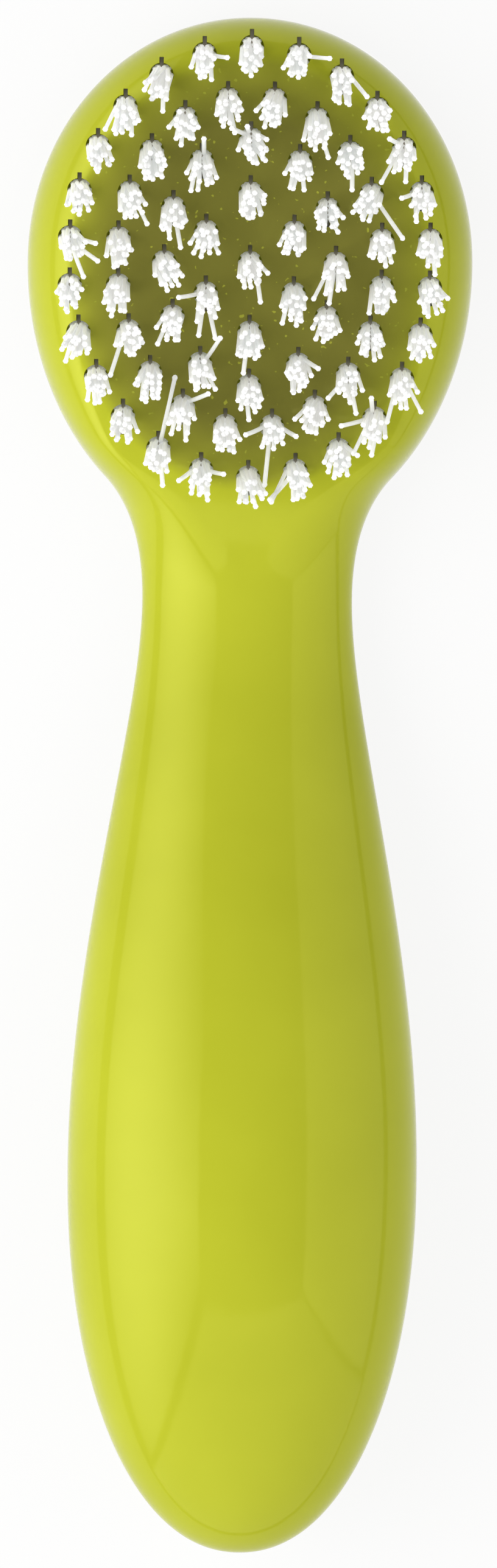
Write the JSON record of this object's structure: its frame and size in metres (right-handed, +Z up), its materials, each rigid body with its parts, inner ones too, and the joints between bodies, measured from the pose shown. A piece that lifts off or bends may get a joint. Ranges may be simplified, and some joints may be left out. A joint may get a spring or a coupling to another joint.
{
  "type": "grooming brush",
  "caption": "Hand-held pet grooming brush: one glossy moulded body with an oval head, slim neck and fat rounded grip, set with rings of white nylon tufts held by flat anchors.",
  "frame": {"origin": "on the plane that the brush lies on, under the middle of its length and width", "axes": "+Y along the brush from the grip to the tip of the head, +X across the head, +Z up out of the tuft face"},
  "size_m": [0.0474, 0.1634, 0.025],
  "materials": {
    "body": "glossy lime green moulded plastic",
    "nylon": "white nylon filament with rounded ends",
    "anchor": "plain flat anchor wire"
  },
  "bodies": {
    "root": {"handle_body": "body", "anchor_centre": "anchor", "anchors_outer": "anchor", "anchors_third": "anchor", "anchors_second": "anchor", "anchors_inner": "anchor", "tuft_centre": "nylon", "tufts_outer_01": "nylon", "tufts_outer_02": "nylon", "tufts_outer_03": "nylon", "tufts_outer_04": "nylon", "tufts_outer_05": "nylon", "tufts_outer_06": "nylon", "tufts_outer_07": "nylon", "tufts_outer_08": "nylon", "tufts_outer_09": "nylon", "tufts_outer_10": "nylon", "tufts_outer_11": "nylon", "tufts_outer_12": "nylon", "tufts_outer_13": "nylon", "tufts_outer_14": "nylon", "tufts_third_01": "nylon", "tufts_third_02": "nylon", "tufts_third_03": "nylon", "tufts_third_04": "nylon", "tufts_third_05": "nylon", "tufts_third_06": "nylon", "tufts_third_07": "nylon", "tufts_third_08": "nylon", "tufts_third_09": "nylon", "tufts_third_10": "nylon", "tufts_second_01": "nylon", "tufts_second_02": "nylon", "tufts_second_03": "nylon", "tufts_second_04": "nylon", "tufts_second_05": "nylon", "tufts_second_06": "nylon", "tufts_second_07": "nylon", "tufts_inner_01": "nylon", "tufts_inner_02": "nylon", "tufts_inner_03": "nylon", "tufts_inner_04": "nylon"}
  },
  "joints": []
}
